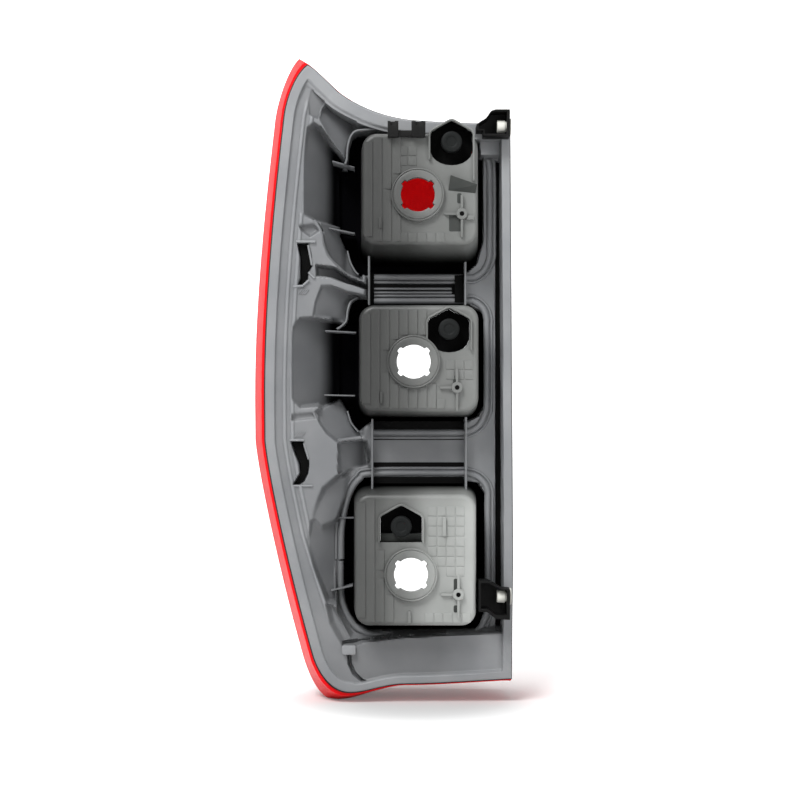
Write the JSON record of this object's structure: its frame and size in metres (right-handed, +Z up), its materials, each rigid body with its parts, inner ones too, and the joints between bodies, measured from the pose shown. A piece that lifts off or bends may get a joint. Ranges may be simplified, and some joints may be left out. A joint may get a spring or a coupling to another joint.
{
  "type": "tail light cluster",
  "caption": "Tall rear vehicle lamp with a moulded housing, notched bulb seats in stacked bowls, a wrap-round red lens with clear sections and screw grommets",
  "frame": {"origin": "axis of the upper fixing bore, at its mouth on the inboard side", "axes": "+Z up along the lamp, +X from the lamp towards the inboard side, +Y towards the lens and the road behind"},
  "size_m": [0.1819, 0.0875, 0.454],
  "materials": {
    "housing_grey": "fine moulded satin",
    "bowl_grey": "fine moulded satin",
    "bezel_silver": "metallised",
    "lens_red": "polished",
    "lens_clear": "polished",
    "seal_black": "bonded bead",
    "reflex_red": "prismatic",
    "cap_black": "moulded",
    "clip_black": "moulded",
    "bracket_black": "moulded",
    "grommet_white": "natural nylon"
  },
  "bodies": {
    "root": {"housing": "housing_grey", "reflector_upper": "bowl_grey", "reflector_middle": "bowl_grey", "reflector_lower": "bowl_grey", "inner_bezel": "bezel_silver", "red_lens": "lens_red", "middle_clear_lens": "lens_clear", "lower_clear_lens": "lens_clear", "lens_seal": "seal_black", "reflex_reflector": "reflex_red", "vent_cap_upper": "cap_black", "vent_cap_middle": "cap_black", "vent_cap_lower": "cap_black", "harness_clip": "clip_black", "upper_bracket": "bracket_black", "lower_bracket": "bracket_black", "upper_grommet": "grommet_white", "lower_grommet": "grommet_white"}
  },
  "joints": []
}
